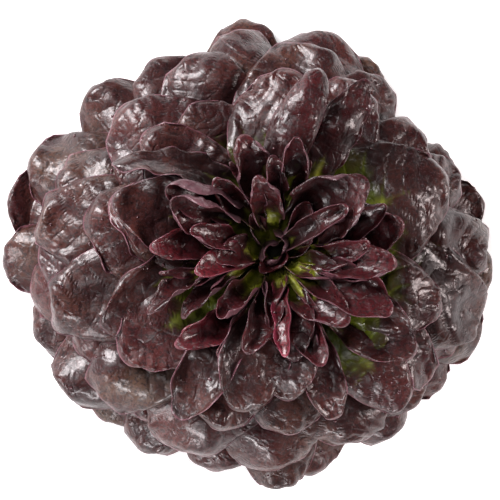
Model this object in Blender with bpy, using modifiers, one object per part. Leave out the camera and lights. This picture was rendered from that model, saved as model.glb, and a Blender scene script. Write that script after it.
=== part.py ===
"""A head of red leaf lettuce, cut and standing on its stem: a conical stem, large leaves laid
one over another from the ground up, and a heart of small upright leaves.

Blender 4.5, metres, +Z up. The origin is the centre of the stem's cut face."""

import math
import random

import bmesh
import bpy
import numpy as np

MM = 0.001

# The stem is a cone that stands on its flat cut face.
STEM_FOOT_RADIUS = 17.5 * MM
STEM_TOP_RADIUS = 4.0 * MM
STEM_HEIGHT = 57.0 * MM
STEM_TAPER_POWER = 1.15
# Above this height the cone belongs to the heart, whose leaves grow from it.
HEART_FROM = 25.0 * MM
STEM_EDGE_ROUND = 2.0 * MM
STEM_STEPS = 32
STEM_SIDE_STEPS = 6
STEM_GAP = 0.35 * MM
ROOT_GAP = 1.0 * MM
ROOT_SUNK = 2.6 * MM

# A meridian is the line that a leaf's midrib follows from the stem outwards. Level 0 is the
# lowest leaf and level 1 the middle of the heart. Between these levels the values blend.
LEVELS = (0.0, 0.08, 0.25, 0.44, 0.64, 0.82, 1.0)
RISE_DEG = (30.0, 44.0, 64.0, 75.0, 82.0, 87.0, 92.0)
BEND_DEG_PER_MM = (0.56, 0.66, 0.84, 0.90, 0.82, 0.66, 0.24)
LOWEST_ROOT = 8.0 * MM
HIGHEST_ROOT = 52.0 * MM
ELBOW = 8.0 * MM
# The head leans out to -X: that side is this share wider than a round head and +X narrower.
LEAN_SHARE = 0.07
LEAN_FROM = 25.0 * MM
LEAN_TO = 110.0 * MM
GROUND_CLEARANCE = 1.0 * MM
STEEPEST_TIP_DEG = 62.0
LEVEL_RANGE = (-0.10, 1.70)
LEVEL_STEPS = 181
LONGEST = 190.0 * MM
LEAST_SPREAD = 8.0 * MM
LEAST_RADIUS = 5.0 * MM
STEP = 1.0 * MM

# Each leaf is (azimuth in degrees, reach from the axis in mm, half width in mm, fold in mm).
# A positive fold lifts the margins into a trough, a negative one turns them down.
# A tier lists its leaves in the order in which they lie on each other, lowest first.
GROUND_TIER = [
    (170, 149, 22, -5), (12, 125, 20, -5), (100, 130, 24, -6), (229, 132, 26, -6),
    (285, 128, 28, -6), (325, 125, 20, -5), (59, 121, 22, -5), (140, 134, 25, -6),
    (205, 138, 26, -6), (255, 127, 26, -5), (30, 115, 23, -5), (181, 148, 20, -4),
    (77, 127, 32, -6), (350, 127, 26, -6), (117, 123, 28, -6),
    (240, 131, 24, -5), (159, 142, 24, -6), (270, 133, 22, -6), (193, 135, 25, -6),
    (305, 125, 24, -5), (338, 130, 24, -6), (218, 138, 26, -6),
]
LOWER_TIER = [
    (98, 123, 22, -6), (20, 113, 22, -5), (233, 117, 22, -5), (311, 118, 24, -5),
    (185, 129, 24, -5), (59, 113, 24, -5), (267, 122, 32, -6), (158, 124, 22, -5),
    (330, 117, 20, -5), (117, 117, 28, -5), (208, 120, 22, -6), (291, 117, 30, -5),
    (3, 121, 22, -5), (80, 116, 32, -6), (172, 130, 24, -6), (245, 121, 30, -6),
    (346, 123, 28, -5), (135, 113, 32, -6), (221, 125, 24, -4), (197, 126, 24, -6),
]
UPPER_TIER = [
    (42, 104, 24, -4), (118, 92, 24, -4), (276, 101, 28, -4), (322, 112, 18, 1),
    (176, 106, 27, -4), (247, 103, 24, -3), (64, 102, 24, -5), (308, 111, 18, 1),
    (214, 101, 25, -3), (25, 102, 32, -5), (143, 96, 22, 0), (89, 98, 26, -4),
    (337, 95, 22, -3), (165, 93, 24, -2),
]
INNER_TIER = [
    (289, 96, 12, 6), (239, 106, 12, 3), (205, 100, 13, -2), (321, 92, 19, 3),
    (257, 82, 18, -3), (268, 78, 16, -3), (5, 62, 16, 3), (103, 60, 17, 3),
    (211, 80, 10, 3), (330, 62, 14, 2), (84, 60, 10, 5), (150, 69, 14, 4),
    (302, 60, 12, 3), (223, 73, 11, 6), (278, 56, 12, 3), (177, 67, 11, 3),
    (40, 52, 20, 4), (341, 52, 13, 2), (252, 55, 8, 4), (155, 63, 14, 6),
    (304, 47, 13, 4), (126, 50, 10, 4), (196, 52, 9, 4),
]
HEART_TIER = [
    (108, 36, 8, 3), (20, 36, 8, 3), (230, 35, 8, 3), (332, 34, 8, 3),
    (172, 34, 7, 3), (65, 30, 7, 3), (278, 28, 7, 3), (135, 22, 6, 2),
    (355, 20, 6, 2), (215, 16, 5, 2),
]
TIER_LEVELS = {
    "ground": (0.00, 0.11), "lower": (0.14, 0.27), "upper": (0.30, 0.43),
    "inner": (0.47, 0.72), "heart": (0.75, 1.00),
}

# A leaf's outline: a narrow stalk that widens into a round blade. A blade is wider than it
# looks from above, by its margins that turn down or up.
FULL_WIDTH = 1.16
SMALL_FULL_WIDTH = 1.20
WIDENS_FROM = 0.12
SMALL_WIDENS_FROM = 0.10
WIDEST_AT = 0.64
TIP_WIDTH_SHARE = 0.46
TIP_SETBACK = 0.60
SETBACK_POWER = 6
STALK_HALF_WIDTH = 3.6 * MM
SMALL_STALK_HALF_WIDTH = 3.2 * MM
MOST_STALK_SHARE = 0.6
SHORTEST = 36.0 * MM
BLADE_THICKNESS = 0.8 * MM
STALK_THICKNESS = 1.2 * MM
SMALL_STALK_THICKNESS = 0.9 * MM
# The blade's own shape comes in over this share of the length, from this share on.
BLADE_FROM = 0.2
BLADE_OVER = 0.5
# The stalk is a trough, and its lowest end is flatter.
STALK_TROUGH = 2.6 * MM
ROOT_TROUGH_SHARE = 0.15
ROOT_FLAT_UP_TO = 0.2
FOLD_POWER = 2.2
MARGIN_WAVE = 2.0 * MM
MARGIN_POWER = 3
BLADE_WAVE = 1.2 * MM
BLADE_WAVE_SHARE = 0.8
BLADE_WAVE_ACROSS = 2.6
SIDE_TILT = 2.5 * MM
MOST_SWEEP_DEG = 5.0
FEWEST_WAVES = 1.6
MOST_WAVES = 2.6
SEED = 7

# Laying: every leaf keeps this far above those it lies on, measured between mid-surfaces.
STALK_SPACING = 1.9 * MM
BLADE_SPACING = 2.7 * MM
HEART_GAP = 1.0 * MM
SMALL_STALK_SPACING = 1.2 * MM
SMALL_BLADE_SPACING = 1.6 * MM
# A skirt slopes down from each margin, so that a leaf above bends gently over the edge.
SKIRT = 3.0 * MM
SKIRT_SLOPE = 0.8
STALK_SKIRT = 0.6 * MM
STALK_SKIRT_SLOPE = 6.0
STALK_UP_TO = 45.0 * MM
SKIRT_REACH = 30.0 * MM
# A leaf is stiff: this share of its width lies clear of the leaves under it without draping,
# and up to this length none of it drapes.
CARRIED_SHARE = 0.85
STIFF_UP_TO = 70.0 * MM
STALK_SOFTNESS = 0.3 * MM
BLADE_SOFTNESS = 1.0 * MM
SMALL_BLADE_SOFTNESS = 0.4 * MM
# Spacing and softness reach the blade's values at this share of the length.
OPENED_BY = 0.4
# The length is solved again once the tip's level is known, and the levels are then smoothed.
LENGTH_PASSES = 2
TIP_ROWS = 4
SMOOTHING_PASSES = 3
LAY_ROWS = 25
LAY_COLUMNS = 15
FIELD_TURNS = 360
FIELD_STEP = 2.0 * MM
FIELD_PASSES = 3

# Faces: short rows round the elbow, then rows about this far apart out to the tip.
ELBOW_ROWS = (0.0, 8.0 * MM, 18.0 * MM, 31.0 * MM)
ROW_LENGTH = 23.0 * MM
SMALL_ROW_LENGTH = 24.0 * MM
LEAF_COLUMNS = 4
THINNED_BY = 0.5
PROFILE_MERGE = 0.01 * MM

# Colours in linear light: red, green, blue.
OUTER_LEAF_COLOUR = (0.060, 0.030, 0.034)
HEART_COLOUR = (0.075, 0.018, 0.028)
STEM_COLOUR = (0.55, 0.60, 0.36)
LEAF_ROUGHNESS = 0.38
HEART_ROUGHNESS = 0.36
STEM_ROUGHNESS = 0.55


def smoothstep(x):
    x = np.clip(x, 0.0, 1.0)
    return x * x * (3.0 - 2.0 * x)


def stem_radius(z):
    share = np.clip(z / STEM_HEIGHT, 0.0, 1.0)
    return STEM_FOOT_RADIUS + (STEM_TOP_RADIUS - STEM_FOOT_RADIUS) * share**STEM_TAPER_POWER


class Meridians:
    """The family of midrib lines, as arrays of radius, height and rising angle."""

    def __init__(self):
        self.levels = np.linspace(*LEVEL_RANGE, LEVEL_STEPS)
        self.lengths = np.arange(0.0, LONGEST, STEP)
        inside = np.clip(self.levels, 0.0, 1.0)
        rise = np.radians(np.interp(inside, LEVELS, RISE_DEG))
        bend = np.radians(np.interp(inside, LEVELS, BEND_DEG_PER_MM)) / MM
        elbow = smoothstep(self.lengths / ELBOW)
        angle = rise[:, None] * elbow - bend[:, None] * self.lengths
        root_z = LOWEST_ROOT + (HIGHEST_ROOT - LOWEST_ROOT) * self.levels
        root_r = stem_radius(root_z) + ROOT_GAP
        half = 0.5 * STEP
        turn_r = np.cumsum(np.cos(angle), axis=1) * STEP - half * np.cos(angle)
        turn_z = np.cumsum(np.sin(angle), axis=1) * STEP - half * np.sin(angle)
        self.radius = root_r[:, None] + turn_r - turn_r[:, :1]
        self.height = root_z[:, None] + turn_z - turn_z[:, :1]
        self.angle = angle
        level_step = self.levels[1] - self.levels[0]
        dr = np.gradient(self.radius, level_step, axis=0)
        dz = np.gradient(self.height, level_step, axis=0)
        self.spread = -dr * np.sin(angle) + dz * np.cos(angle)

    def at(self, table, level, length):
        """A table's value at any level and length, blended between its four neighbours."""
        row = (np.asarray(level) - LEVEL_RANGE[0]) / (self.levels[1] - self.levels[0])
        column = np.asarray(length) / STEP
        row = np.clip(row, 0.0, LEVEL_STEPS - 1.001)
        column = np.clip(column, 0.0, len(self.lengths) - 1.001)
        i = row.astype(int)
        j = column.astype(int)
        a = row - i
        b = column - j
        low = table[i, j] * (1 - b) + table[i, j + 1] * b
        high = table[i + 1, j] * (1 - b) + table[i + 1, j + 1] * b
        return low * (1 - a) + high * a

    def length_to_reach(self, level, reach):
        """How long a midrib at this level is when its tip is this far from the axis."""
        everywhere = np.full(len(self.lengths), level)
        radii = self.at(self.radius, everywhere, self.lengths)
        angles = self.at(self.angle, everywhere, self.lengths)
        ends = (radii >= reach) | (angles < -math.radians(STEEPEST_TIP_DEG))
        return self.lengths[np.argmax(ends)]

    def floor_levels(self):
        """The lowest level that stays clear of the ground, for each length."""
        clear = self.height >= GROUND_CLEARANCE
        return self.levels[np.argmax(clear, axis=0)]


class Leaf:
    """One leaf: its outline, its own shape, and the levels it takes once it is laid."""

    def __init__(self, lines, tier, number, row, level, rng):
        self.name = f"{tier}_leaf_{number:02d}"
        self.tier = tier
        azimuth, reach, half_width, fold = row
        self.azimuth = math.radians(azimuth)
        self.level = level
        small = tier in ("inner", "heart")
        self.small = small
        self.reach = unleaned(reach * MM, self.azimuth)
        self.length = max(lines.length_to_reach(level, self.reach), SHORTEST)
        self.half_width = half_width * MM * (SMALL_FULL_WIDTH if small else FULL_WIDTH)
        self.fold = fold * MM
        self.stalk = min(SMALL_STALK_HALF_WIDTH if small else STALK_HALF_WIDTH,
                         MOST_STALK_SHARE * self.half_width)
        self.sweep = math.radians(rng.uniform(-MOST_SWEEP_DEG, MOST_SWEEP_DEG))
        self.phases = [rng.uniform(0.0, 2.0 * math.pi) for _ in range(4)]
        self.waves = rng.uniform(FEWEST_WAVES, MOST_WAVES)
        self.tilt = rng.uniform(-SIDE_TILT, SIDE_TILT)

    def half_width_at(self, u):
        """Half the leaf's width at a share u of its length."""
        start = SMALL_WIDENS_FROM if self.small else WIDENS_FROM
        open_share = smoothstep((u - start) / (WIDEST_AT - start))
        widening = self.stalk + (self.half_width - self.stalk) * open_share
        past = np.clip((u - WIDEST_AT) / (1.0 - WIDEST_AT), 0.0, 1.0)
        rounding = np.sqrt(1.0 - (past * math.sqrt(1.0 - TIP_WIDTH_SHARE**2)) ** 2)
        return widening * rounding

    def distance_along(self, u, v):
        """Length along the midrib of the point (u, v), set back at the tip's corners."""
        setback = TIP_SETBACK * self.half_width_at(u) * u**SETBACK_POWER * v**2
        return u * self.length - setback

    def azimuth_at(self, lines, u, v):
        along = self.distance_along(u, v)
        radius = np.maximum(lines.at(lines.radius, np.full_like(along, self.level), along),
                            LEAST_RADIUS)
        return self.azimuth + self.sweep * u**2 + v * self.half_width_at(u) / radius

    def own_height(self, u, v):
        """How far the leaf's own shape stands above its level, in metres."""
        blade = smoothstep((u - BLADE_FROM) / BLADE_OVER)
        opened = smoothstep(u / ROOT_FLAT_UP_TO)
        hollow = ROOT_TROUGH_SHARE + (1.0 - ROOT_TROUGH_SHARE) * opened
        trough = STALK_TROUGH * v**2 * (1.0 - blade) * hollow
        folded = self.fold * np.abs(v) ** FOLD_POWER * blade
        side = np.where(v < 0, self.phases[0], self.phases[1])
        turns = 2.0 * math.pi * self.waves
        margin = MARGIN_WAVE * np.abs(v) ** MARGIN_POWER * np.sin(turns * u + side) * blade
        middle = (BLADE_WAVE * np.sin(turns * BLADE_WAVE_SHARE * u + self.phases[2])
                  * np.cos(BLADE_WAVE_ACROSS * v + self.phases[3]) * blade)
        return trough + folded + margin + middle + self.tilt * v * blade

    def lay(self, lines, field):
        """Takes the leaf's own levels, lifted where it lies on the leaves under it."""
        u, v = np.meshgrid(np.linspace(0, 1, LAY_ROWS), np.linspace(-1, 1, LAY_COLUMNS),
                           indexing="ij")
        near, far = STALK_SPACING, BLADE_SPACING
        softest = BLADE_SOFTNESS
        if self.small:
            near, far = SMALL_STALK_SPACING, SMALL_BLADE_SPACING
            softest = SMALL_BLADE_SOFTNESS
        opened = smoothstep(u / OPENED_BY)
        spacing = near + (far - near) * opened
        softness = STALK_SOFTNESS + (softest - STALK_SOFTNESS) * opened
        for _ in range(LENGTH_PASSES):
            along = self.distance_along(u, v)
            turn = self.azimuth_at(lines, u, v)
            spread = np.maximum(lines.at(lines.spread, np.full_like(along, self.level), along),
                                LEAST_SPREAD)
            floor = field.at(along, turn) + spacing / spread
            highest = floor.max(axis=1, keepdims=True)
            draped = np.quantile(floor, CARRIED_SHARE, axis=1, keepdims=True)
            flexible = smoothstep(u[:, :1] * self.length / STIFF_UP_TO)
            carried = highest + (draped - highest) * flexible
            level = np.maximum(self.level, carried)
            tip_level = level[-TIP_ROWS:].mean()
            self.length = max(lines.length_to_reach(tip_level, self.reach), SHORTEST)
        own = level + self.own_height(u, v) / spread
        lifted = soft_maximum(own, floor, softness / spread)
        for _ in range(SMOOTHING_PASSES):
            lifted = np.maximum(smoothed(lifted), floor)
        self.levels = lifted
        field.take(self, lines)

    def levels_at(self, u, v):
        """The laid level at any (u, v), blended between the laying grid's points."""
        row = np.clip(u * (LAY_ROWS - 1), 0.0, LAY_ROWS - 1.001)
        column = np.clip((v + 1) * 0.5 * (LAY_COLUMNS - 1), 0.0, LAY_COLUMNS - 1.001)
        i = row.astype(int)
        j = column.astype(int)
        a = row - i
        b = column - j
        grid = self.levels
        low = grid[i, j] * (1 - b) + grid[i, j + 1] * b
        high = grid[i + 1, j] * (1 - b) + grid[i + 1, j + 1] * b
        return low * (1 - a) + high * a

    def points(self, lines, u, v):
        """The leaf's mid-surface at (u, v), as rows of x, y and z."""
        along = self.distance_along(u, v)
        level = self.levels_at(u, v)
        turn = self.azimuth_at(lines, u, v)
        radius = lines.at(lines.radius, level, along)
        height = lines.at(lines.height, level, along)
        if self.small:
            radius = radius - ROOT_SUNK * (1.0 - smoothstep(along / ELBOW))
        radius = leaned(radius, turn)
        return np.stack([radius * np.cos(turn), radius * np.sin(turn), height], axis=-1)


def lean_at(radius, turn):
    far = smoothstep((radius - LEAN_FROM) / (LEAN_TO - LEAN_FROM))
    return 1.0 - LEAN_SHARE * np.cos(turn) * far


def leaned(radius, turn):
    """The distance from the axis once the head leans out to -X."""
    return radius * lean_at(radius, turn)


def unleaned(radius, turn):
    return radius / lean_at(radius / lean_at(radius, turn), turn)


def soft_maximum(a, b, softness):
    """The larger of two arrays, rounded over where they are close."""
    difference = (a - b) / softness
    return b + softness * np.logaddexp(0.0, difference)


def smoothed(grid):
    padded = np.pad(grid, 1, mode="edge")
    around = padded[:-2, 1:-1] + padded[2:, 1:-1] + padded[1:-1, :-2] + padded[1:-1, 2:]
    return 0.5 * grid + 0.125 * around


class Field:
    """The highest level laid so far, over distance along the midrib and azimuth."""

    def __init__(self, lines):
        self.along = np.arange(0.0, LONGEST, FIELD_STEP)
        self.turns = np.arange(FIELD_TURNS) * (2.0 * math.pi / FIELD_TURNS)
        floor = np.interp(self.along, lines.lengths, lines.floor_levels())
        self.level = np.repeat(floor[:, None], FIELD_TURNS, axis=1)

    def at(self, along, turn):
        row = np.clip(along / FIELD_STEP, 0.0, len(self.along) - 1.001)
        column = (turn % (2.0 * math.pi)) / (2.0 * math.pi) * FIELD_TURNS
        i = row.astype(int)
        j = column.astype(int) % FIELD_TURNS
        k = (j + 1) % FIELD_TURNS
        a = row - i
        b = column - column.astype(int)
        low = self.level[i, j] * (1 - b) + self.level[i, k] * b
        high = self.level[i + 1, j] * (1 - b) + self.level[i + 1, k] * b
        return low * (1 - a) + high * a

    def lift(self, lines, gap):
        """Raises the whole field by a gap, so that the next tier lies clear of the last."""
        along = np.repeat(self.along[:, None], FIELD_TURNS, axis=1)
        spread = np.maximum(lines.at(lines.spread, self.level, along), LEAST_SPREAD)
        self.level = self.level + gap / spread

    def take(self, leaf, lines):
        """Raises the field over the leaf, with a skirt that slopes down from its margin."""
        along, turn = np.meshgrid(self.along, self.turns, indexing="ij")
        radius = np.maximum(lines.at(lines.radius, np.full_like(along, leaf.level), along),
                            LEAST_RADIUS)
        u = np.clip(along / leaf.length, 0.0, 1.0)
        for _ in range(FIELD_PASSES):
            offset = turn - leaf.azimuth - leaf.sweep * u**2
            offset = (offset + math.pi) % (2.0 * math.pi) - math.pi
            across = offset * radius
            width = leaf.half_width_at(u)
            v = np.clip(across / width, -1.0, 1.0)
            setback = TIP_SETBACK * width * u**SETBACK_POWER * v**2
            u = np.clip((along + setback) / leaf.length, 0.0, 1.0)
        beside = np.maximum(np.abs(across) - width, 0.0)
        ahead = np.maximum(along - leaf.distance_along(u, v), 0.0)
        outside = np.hypot(beside, ahead)
        spread = np.maximum(lines.at(lines.spread, np.full_like(along, leaf.level), along),
                            LEAST_SPREAD)
        blade = smoothstep(along / STALK_UP_TO)
        skirt = STALK_SKIRT + (SKIRT - STALK_SKIRT) * blade
        slope = STALK_SKIRT_SLOPE + (SKIRT_SLOPE - STALK_SKIRT_SLOPE) * blade
        fall = slope * np.maximum(outside - skirt, 0.0) / spread
        level = leaf.levels_at(u, v) - fall
        reached = outside < SKIRT_REACH
        self.level = np.where(reached, np.maximum(self.level, level), self.level)


def lay_all_leaves(lines):
    rng = random.Random(SEED)
    field = Field(lines)
    laid = []
    tiers = {"ground": GROUND_TIER, "lower": LOWER_TIER, "upper": UPPER_TIER,
             "inner": INNER_TIER, "heart": HEART_TIER}
    for tier, rows in tiers.items():
        low, high = TIER_LEVELS[tier]
        if tier == "inner":
            field.lift(lines, HEART_GAP)
        for number, row in enumerate(rows, start=1):
            level = low + (high - low) * (number - 1) / (len(rows) - 1)
            leaf = Leaf(lines, tier, number, row, level, rng)
            leaf.lay(lines, field)
            laid.append(leaf)
    return laid


def row_shares(leaf):
    """Shares of the leaf's length: short rows round the elbow, then closer to the tip."""
    beyond = leaf.length - ELBOW_ROWS[-1]
    count = max(1, round(beyond / (SMALL_ROW_LENGTH if leaf.small else ROW_LENGTH)))
    even = np.linspace(0.0, 1.0, count + 1)[1:]
    last = ELBOW_ROWS[-1] / leaf.length
    return np.array([row / leaf.length for row in ELBOW_ROWS]
                    + list(last + (1.0 - last) * np.sin(even * math.pi / 2)))


def leaf_object(leaf, lines, collection):
    """The leaf as a sheet, triangulated so that both its faces are split alike, and thickened."""
    shares = row_shares(leaf)
    rows = len(shares) - 1
    stalk = SMALL_STALK_THICKNESS if leaf.small else STALK_THICKNESS
    sheet = bmesh.new()
    bmesh.ops.create_grid(sheet, x_segments=rows, y_segments=LEAF_COLUMNS, size=0.5)
    u = np.array([np.interp(p.co.x + 0.5, np.linspace(0, 1, rows + 1), shares)
                  for p in sheet.verts])
    v = np.array([p.co.y * 2.0 for p in sheet.verts])
    for vertex, place in zip(sheet.verts, leaf.points(lines, u, v)):
        vertex.co = place
    bmesh.ops.triangulate(sheet, faces=sheet.faces)
    mesh = bpy.data.meshes.new(leaf.name)
    sheet.to_mesh(mesh)
    sheet.free()
    mesh.shade_smooth()
    obj = bpy.data.objects.new(leaf.name, mesh)
    collection.objects.link(obj)
    group = obj.vertex_groups.new(name="thickness")
    weights = 1.0 - (1.0 - BLADE_THICKNESS / stalk) * smoothstep(u / THINNED_BY)
    for index, weight in enumerate(weights):
        group.add([index], float(weight), "REPLACE")
    solid = obj.modifiers.new("Thickness", "SOLIDIFY")
    solid.thickness = stalk
    solid.offset = 0.0
    solid.vertex_group = group.name
    return obj


def cone_object(name, low, high, edge_round, collection):
    """A length of the stem's cone, turned from a profile that runs down its outer side."""
    heights = np.linspace(high, low + edge_round, STEM_SIDE_STEPS)
    profile = [(0.0, high)]
    profile += [(float(stem_radius(z)), float(z)) for z in heights]
    foot = float(stem_radius(low + edge_round))
    if edge_round:
        profile.append((foot - edge_round, low))
    profile.append((0.0, low))
    mesh = bpy.data.meshes.new(name)
    mesh.from_pydata([(r, 0.0, z) for r, z in profile],
                     [(i, i + 1) for i in range(len(profile) - 1)], [])
    obj = bpy.data.objects.new(name, mesh)
    collection.objects.link(obj)
    screw = obj.modifiers.new("Turn", "SCREW")
    screw.steps = screw.render_steps = STEM_STEPS
    screw.use_merge_vertices = True
    screw.merge_threshold = PROFILE_MERGE
    return obj


def fuse(core, leaves):
    """Joins the small leaves to the core they grow from, as one solid."""
    group = bpy.data.collections.new("heart_leaves")
    for leaf in leaves:
        group.objects.link(leaf)
    union = core.modifiers.new("Join", "BOOLEAN")
    union.operation = "UNION"
    union.operand_type = "COLLECTION"
    union.collection = group
    union.solver = "EXACT"
    bpy.context.view_layer.update()
    graph = bpy.context.evaluated_depsgraph_get()
    joined = bpy.data.meshes.new_from_object(core.evaluated_get(graph))
    core.modifiers.clear()
    core.data = joined
    for leaf in leaves:
        bpy.data.objects.remove(leaf)
    bpy.data.collections.remove(group)


def paint(obj, colour, roughness):
    """Gives the object a material of its own."""
    material = bpy.data.materials.new(obj.name)
    material.use_nodes = True
    shader = material.node_tree.nodes["Principled BSDF"]
    shader.inputs["Base Color"].default_value = (*colour, 1.0)
    shader.inputs["Roughness"].default_value = roughness
    obj.data.materials.clear()
    obj.data.materials.append(material)


def main():
    for obj in list(bpy.data.objects):
        bpy.data.objects.remove(obj)
    collection = bpy.data.collections.new("leaf_lettuce")
    bpy.context.scene.collection.children.link(collection)
    lines = Meridians()
    stem = cone_object("stem", 0.0, HEART_FROM - STEM_GAP, STEM_EDGE_ROUND, collection)
    paint(stem, STEM_COLOUR, STEM_ROUGHNESS)
    heart = cone_object("heart", HEART_FROM, STEM_HEIGHT, 0.0, collection)
    small_leaves = []
    for leaf in lay_all_leaves(lines):
        obj = leaf_object(leaf, lines, collection)
        if leaf.small:
            small_leaves.append(obj)
        else:
            paint(obj, OUTER_LEAF_COLOUR, LEAF_ROUGHNESS)
    fuse(heart, small_leaves)
    paint(heart, HEART_COLOUR, HEART_ROUGHNESS)


main()
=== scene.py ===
"""The looks of a head of dark red leaf lettuce, seen from above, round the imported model.

Metres, +Z up. The origin is the centre of the stem's cut face, as in the solids."""
import math
import random

import bpy
import numpy as np
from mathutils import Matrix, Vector


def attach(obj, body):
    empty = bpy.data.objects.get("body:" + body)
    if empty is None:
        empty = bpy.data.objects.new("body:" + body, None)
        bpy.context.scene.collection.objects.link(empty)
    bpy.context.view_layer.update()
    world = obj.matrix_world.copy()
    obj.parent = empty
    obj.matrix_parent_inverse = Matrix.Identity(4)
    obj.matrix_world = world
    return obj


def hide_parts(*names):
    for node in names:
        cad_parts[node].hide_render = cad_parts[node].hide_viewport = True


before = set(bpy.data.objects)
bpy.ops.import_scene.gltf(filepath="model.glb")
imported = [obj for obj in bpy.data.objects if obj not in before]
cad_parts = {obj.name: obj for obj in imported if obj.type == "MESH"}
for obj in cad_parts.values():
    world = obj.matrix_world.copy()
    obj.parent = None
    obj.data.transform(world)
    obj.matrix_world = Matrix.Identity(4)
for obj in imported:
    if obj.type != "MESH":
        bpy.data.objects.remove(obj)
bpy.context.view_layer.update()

MM = 0.001
FULL_TURN = 2.0 * math.pi

# The same family of midrib lines and the same laying of leaves as in the solids.
STEM_RADII = (17.5 * MM, 4.0 * MM)
STEM_HEIGHT = 57.0 * MM
STEM_TAPER_POWER = 1.15
HEART_FROM = 25.0 * MM
ROOT_GAP = 1.0 * MM
LEVELS = (0.0, 0.08, 0.25, 0.44, 0.64, 0.82, 1.0)
RISE_DEG = (30.0, 44.0, 64.0, 75.0, 82.0, 87.0, 92.0)
BEND_DEG_PER_MM = (0.56, 0.66, 0.84, 0.90, 0.82, 0.66, 0.24)
ROOT_HEIGHTS = (8.0 * MM, 52.0 * MM)
ELBOW = 8.0 * MM
LEAN_SHARE = 0.07
LEAN_FROM = 25.0 * MM
LEAN_TO = 110.0 * MM
GROUND_CLEARANCE = 1.0 * MM
STEEPEST_TIP_DEG = 62.0
LEVEL_RANGE = (-0.10, 1.70)
LEVEL_STEPS = 181
LONGEST = 190.0 * MM
LEAST_SPREAD = 8.0 * MM
LEAST_RADIUS = 5.0 * MM
STEP = 1.0 * MM
# Keeps a place on a table's far edge inside the last cell.
LAST_CELL = 1.001

# Each leaf is (azimuth in degrees, reach from the axis in mm, half width in mm, fold in mm).
# A tier lists its leaves in the order in which they lie on each other, lowest first.
GROUND_TIER = [
    (170, 149, 22, -5), (12, 125, 20, -5), (100, 130, 24, -6), (229, 132, 26, -6),
    (285, 128, 28, -6), (325, 125, 20, -5), (59, 121, 22, -5), (140, 134, 25, -6),
    (205, 138, 26, -6), (255, 127, 26, -5), (30, 115, 23, -5), (181, 148, 20, -4),
    (77, 127, 32, -6), (350, 127, 26, -6), (117, 123, 28, -6),
    (240, 131, 24, -5), (159, 142, 24, -6), (270, 133, 22, -6), (193, 135, 25, -6),
    (305, 125, 24, -5), (338, 130, 24, -6), (218, 138, 26, -6),
]
LOWER_TIER = [
    (98, 123, 22, -6), (20, 113, 22, -5), (233, 117, 22, -5), (311, 118, 24, -5),
    (185, 129, 24, -5), (59, 113, 24, -5), (267, 122, 32, -6), (158, 124, 22, -5),
    (330, 117, 20, -5), (117, 117, 28, -5), (208, 120, 22, -6), (291, 117, 30, -5),
    (3, 121, 22, -5), (80, 116, 32, -6), (172, 130, 24, -6), (245, 121, 30, -6),
    (346, 123, 28, -5), (135, 113, 32, -6), (221, 125, 24, -4), (197, 126, 24, -6),
]
UPPER_TIER = [
    (42, 104, 24, -4), (118, 92, 24, -4), (276, 101, 28, -4), (322, 112, 18, 1),
    (176, 106, 27, -4), (247, 103, 24, -3), (64, 102, 24, -5), (308, 111, 18, 1),
    (214, 101, 25, -3), (25, 102, 32, -5), (143, 96, 22, 0), (89, 98, 26, -4),
    (337, 95, 22, -3), (165, 93, 24, -2),
]
TIER_LEVELS = {"ground": (0.00, 0.11), "lower": (0.14, 0.27), "upper": (0.30, 0.43)}

FULL_WIDTH = 1.16
# The blade widens from this share of the length to that, and has this share of its width at the
# tip.
OUTLINE = (0.12, 0.64, 0.46)
TIP_SETBACK = 0.60
SETBACK_POWER = 6
STALK_HALF_WIDTH = 3.6 * MM
MOST_STALK_SHARE = 0.6
SHORTEST = 36.0 * MM
# The blade's own shape comes in from this share of the length on, over this share.
BLADE_RISE = (0.2, 0.5)
STALK_TROUGH = 2.6 * MM
ROOT_TROUGH_SHARE = 0.15
ROOT_FLAT_UP_TO = 0.2
# The margins turn down and wave more than in the solids, which have few faces.
CROWN = 1.9
FOLD_POWER = 2.6
MARGIN_WAVE = 3.2 * MM
MARGIN_POWER = 3
BLADE_WAVE = 2.2 * MM
BLADE_WAVE_SHARE = 0.8
BLADE_WAVE_ACROSS = 2.6
SIDE_TILT = 2.5 * MM
MOST_SWEEP_DEG = 5.0
WAVES = (1.6, 2.6)

# Laying: every leaf keeps this far above those it lies on, measured between mid-surfaces. The
# first value of each pair is the stalk's and the second is the blade's.
SPACING = (1.9 * MM, 2.7 * MM)
SOFTNESS = (0.3 * MM, 1.0 * MM)
SKIRT = (0.6 * MM, 3.0 * MM)
SKIRT_SLOPE = (6.0, 0.8)
STALK_UP_TO = 45.0 * MM
SKIRT_REACH = 30.0 * MM
CARRIED_SHARE = 0.85
STIFF_UP_TO = 70.0 * MM
OPENED_BY = 0.4
LENGTH_PASSES = 2
TIP_ROWS = 4
LAYING_PASSES = 3
SURFACE_PASSES = 6
LAY_ROWS = 25
LAY_COLUMNS = 15
FIELD_TURNS = 360
FIELD_STEP = 2.0 * MM
FIELD_PASSES = 3

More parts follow.
